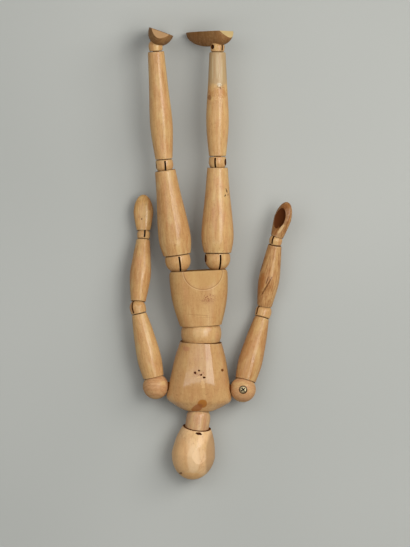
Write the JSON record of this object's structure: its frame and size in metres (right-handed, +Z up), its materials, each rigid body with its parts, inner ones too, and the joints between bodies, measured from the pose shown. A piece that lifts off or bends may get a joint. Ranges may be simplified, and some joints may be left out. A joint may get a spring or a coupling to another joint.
{
  "type": "jointed wooden drawing figure",
  "caption": "Jointed wooden artist mannequin, lying with its arms at its sides: turned limbs on slotted knuckle balls with pins, straps and springs.",
  "frame": {"origin": "on the table, below the middle of the outline of the figure as it lies", "axes": "+Y from the head to the feet, +X to the right as seen from above with the feet away, +Z up from the table"},
  "size_m": [0.1086, 0.3034, 0.0419],
  "materials": {
    "varnished_wood": "worn honey varnish",
    "dark_wood": "rubbed brown wood",
    "steel_hardware": "dull steel",
    "brass_screw": "pale brass"
  },
  "bodies": {
    "pelvis": {"pelvis": "varnished_wood", "left_hip_strap": "steel_hardware", "left_hip_spring": "steel_hardware", "right_hip_strap": "steel_hardware", "right_hip_spring": "steel_hardware"},
    "waist": {"waist": "varnished_wood", "spine_spring": "steel_hardware"},
    "chest": {"chest": "varnished_wood", "shoulder_spring": "steel_hardware"},
    "neck": {"neck": "varnished_wood", "neck_spring": "steel_hardware"},
    "head": {"head": "varnished_wood"},
    "left_hip": {"left_hip_knuckle": "varnished_wood", "left_hip_pin": "steel_hardware"},
    "left_thigh": {"left_thigh": "varnished_wood", "left_knee_strap": "steel_hardware", "left_knee_spring": "steel_hardware"},
    "left_knee": {"left_knee_knuckle": "varnished_wood", "left_knee_pin": "steel_hardware"},
    "left_shin": {"left_shin": "varnished_wood"},
    "left_ankle": {"left_ankle_knuckle": "varnished_wood", "left_ankle_pin": "steel_hardware"},
    "left_foot": {"left_foot": "dark_wood", "left_ankle_strap": "steel_hardware"},
    "left_shoulder": {"left_shoulder_ball": "varnished_wood", "left_shoulder_pin": "steel_hardware"},
    "left_upper_arm": {"left_upper_arm": "varnished_wood", "left_shoulder_strap": "steel_hardware"},
    "left_elbow": {"left_elbow_knuckle": "varnished_wood", "left_elbow_pin": "steel_hardware"},
    "left_forearm": {"left_forearm": "varnished_wood", "left_elbow_strap": "steel_hardware"},
    "left_wrist": {"left_wrist_knuckle": "varnished_wood", "left_wrist_pin": "steel_hardware"},
    "left_hand": {"left_hand": "varnished_wood", "left_wrist_strap": "steel_hardware"},
    "right_hip": {"right_hip_knuckle": "varnished_wood", "right_hip_pin": "steel_hardware"},
    "right_thigh": {"right_thigh": "varnished_wood", "right_knee_strap": "steel_hardware", "right_knee_spring": "steel_hardware"},
    "right_knee": {"right_knee_knuckle": "varnished_wood", "right_knee_pin": "steel_hardware"},
    "right_shin": {"right_shin": "varnished_wood"},
    "right_ankle": {"right_ankle_knuckle": "varnished_wood", "right_ankle_pin": "steel_hardware"},
    "right_foot": {"right_foot": "dark_wood", "right_ankle_strap": "steel_hardware"},
    "right_shoulder": {"right_shoulder_ball": "varnished_wood", "right_shoulder_screw": "brass_screw"},
    "right_upper_arm": {"right_upper_arm": "varnished_wood", "right_shoulder_strap": "steel_hardware"},
    "right_elbow": {"right_elbow_knuckle": "varnished_wood", "right_elbow_pin": "steel_hardware"},
    "right_forearm": {"right_forearm": "varnished_wood", "right_elbow_strap": "steel_hardware"},
    "right_wrist": {"right_wrist_knuckle": "varnished_wood", "right_wrist_pin": "steel_hardware"},
    "right_hand": {"right_hand": "varnished_wood", "right_wrist_strap": "steel_hardware"}
  },
  "joints": [
    {"name": "waist_bend", "type": "hinge", "parent": "pelvis", "child": "waist", "pos_m": [-0.00642, -0.05357, 0.01801], "axis": [0.9989, 0.0471, 0], "range_deg": [-25, 25], "deforming": ["spine_spring"]},
    {"name": "chest_turn", "type": "hinge", "parent": "waist", "child": "chest", "pos_m": [-0.00642, -0.05357, 0.01801], "axis": [0.0348, 0.997, 0.0698], "range_deg": [-45, 45], "deforming": ["spine_spring"]},
    {"name": "neck_nod", "type": "hinge", "parent": "chest", "child": "neck", "pos_m": [-0.0084, -0.1101, 0.01406], "axis": [0.9994, -0.0349, 0], "range_deg": [-20, 20], "deforming": ["neck_spring"]},
    {"name": "head_turn", "type": "hinge", "parent": "neck", "child": "head", "pos_m": [-0.00957, -0.11841, 0.01428], "axis": [0.1288, 0.9917, 0], "range_deg": [-75, 75], "deforming": ["neck_spring"]},
    {"name": "left_hip_swing", "type": "hinge", "parent": "pelvis", "child": "left_hip", "pos_m": [-0.022, -0.0045, 0.02019], "axis": [0.9803, 0.1468, -0.1325], "range_deg": [-50, 50]},
    {"name": "left_thigh_swivel", "type": "hinge", "parent": "left_hip", "child": "left_thigh", "pos_m": [-0.022, -0.0045, 0.02019], "axis": [0.1407, -0.9886, -0.0541], "range_deg": [-30, 30]},
    {"name": "left_knee_bend", "type": "hinge", "parent": "left_thigh", "child": "left_knee", "pos_m": [-0.03106, 0.05917, 0.02367], "axis": [0.9904, 0.0804, -0.1128], "range_deg": [-55, 55]},
    {"name": "left_shin_swivel", "type": "hinge", "parent": "left_knee", "child": "left_shin", "pos_m": [-0.03106, 0.05917, 0.02367], "axis": [0.0731, -0.995, -0.068], "range_deg": [-75, 25]},
    {"name": "left_ankle_swivel", "type": "hinge", "parent": "left_shin", "child": "left_ankle", "pos_m": [-0.03686, 0.13817, 0.02907], "axis": [0.0731, -0.995, -0.068], "range_deg": [-75, 25]},
    {"name": "left_foot_bend", "type": "hinge", "parent": "left_ankle", "child": "left_foot", "pos_m": [-0.03686, 0.13817, 0.02907], "axis": [0, -0.0682, 0.9977], "range_deg": [-15, 60]},
    {"name": "left_shoulder_swing", "type": "hinge", "parent": "chest", "child": "left_shoulder", "pos_m": [-0.03698, -0.08904, 0.01546], "axis": [0.9994, -0.0349, 0], "range_deg": [-150, 60]},
    {"name": "left_arm_lift", "type": "hinge", "parent": "left_shoulder", "child": "left_upper_arm", "pos_m": [-0.03698, -0.08904, 0.01546], "axis": [0, 0, 1], "range_deg": [-5, 90]},
    {"name": "left_elbow_swivel", "type": "hinge", "parent": "left_upper_arm", "child": "left_elbow", "pos_m": [-0.04898, -0.03622, 0.01735], "axis": [-0.2214, 0.9746, 0.0349], "range_deg": [-15, 90]},
    {"name": "left_elbow_bend", "type": "hinge", "parent": "left_elbow", "child": "left_forearm", "pos_m": [-0.04898, -0.03622, 0.01735], "axis": [0.7355, 0.1434, 0.6622], "range_deg": [-50, 50]},
    {"name": "left_wrist_swivel", "type": "hinge", "parent": "left_forearm", "child": "left_wrist", "pos_m": [-0.04513, 0.01266, 0.01133], "axis": [0.0779, 0.9895, -0.1219], "range_deg": [-90, 90]},
    {"name": "left_hand_bend", "type": "hinge", "parent": "left_wrist", "child": "left_hand", "pos_m": [-0.04513, 0.01266, 0.01133], "axis": [0.98, -0.0984, -0.1728], "range_deg": [-52, 52]},
    {"name": "right_hip_swing", "type": "hinge", "parent": "pelvis", "child": "right_hip", "pos_m": [0.00447, -0.00325, 0.02019], "axis": [0.9703, 0.008, -0.2419], "range_deg": [-50, 50]},
    {"name": "right_thigh_swivel", "type": "hinge", "parent": "right_hip", "child": "right_thigh", "pos_m": [0.00447, -0.00325, 0.02019], "axis": [0, 0.9995, 0.0332], "range_deg": [-30, 30]},
    {"name": "right_knee_bend", "type": "hinge", "parent": "right_thigh", "child": "right_knee", "pos_m": [0.00447, 0.06112, 0.02232], "axis": [0.9588, -0.0045, 0.284], "range_deg": [-55, 55]},
    {"name": "right_shin_swivel", "type": "hinge", "parent": "right_knee", "child": "right_shin", "pos_m": [0.00447, 0.06112, 0.02232], "axis": [0, 0.9999, 0.0157], "range_deg": [-75, 25]},
    {"name": "right_ankle_swivel", "type": "hinge", "parent": "right_shin", "child": "right_ankle", "pos_m": [0.00447, 0.13801, 0.02353], "axis": [0, 0.9999, 0.0157], "range_deg": [-75, 25]},
    {"name": "right_foot_bend", "type": "hinge", "parent": "right_ankle", "child": "right_foot", "pos_m": [0.00447, 0.13801, 0.02353], "axis": [0.7431, 0.0105, -0.6691], "range_deg": [-30, 30]},
    {"name": "right_shoulder_swing", "type": "hinge", "parent": "chest", "child": "right_shoulder", "pos_m": [0.02159, -0.09108, 0.01546], "axis": [0.9994, -0.0349, 0], "range_deg": [-150, 60]},
    {"name": "right_arm_lift", "type": "hinge", "parent": "right_shoulder", "child": "right_upper_arm", "pos_m": [0.02159, -0.09108, 0.01546], "axis": [0, 0, -1], "range_deg": [-5, 90]},
    {"name": "right_elbow_swivel", "type": "hinge", "parent": "right_upper_arm", "child": "right_elbow", "pos_m": [0.03539, -0.03921, 0.00792], "axis": [-0.2546, -0.957, 0.1392], "range_deg": [-15, 90]},
    {"name": "right_elbow_bend", "type": "hinge", "parent": "right_elbow", "child": "right_forearm", "pos_m": [0.03539, -0.03921, 0.00792], "axis": [0.6012, -0.0439, 0.7979], "range_deg": [-50, 50]},
    {"name": "right_wrist_swivel", "type": "hinge", "parent": "right_forearm", "child": "right_wrist", "pos_m": [0.0435, 0.00875, 0.0165], "axis": [-0.1642, -0.971, -0.1736], "range_deg": [-90, 90]},
    {"name": "right_hand_bend", "type": "hinge", "parent": "right_wrist", "child": "right_hand", "pos_m": [0.0435, 0.00875, 0.0165], "axis": [0.825, -0.2317, 0.5155], "range_deg": [-52, 52]}
  ]
}
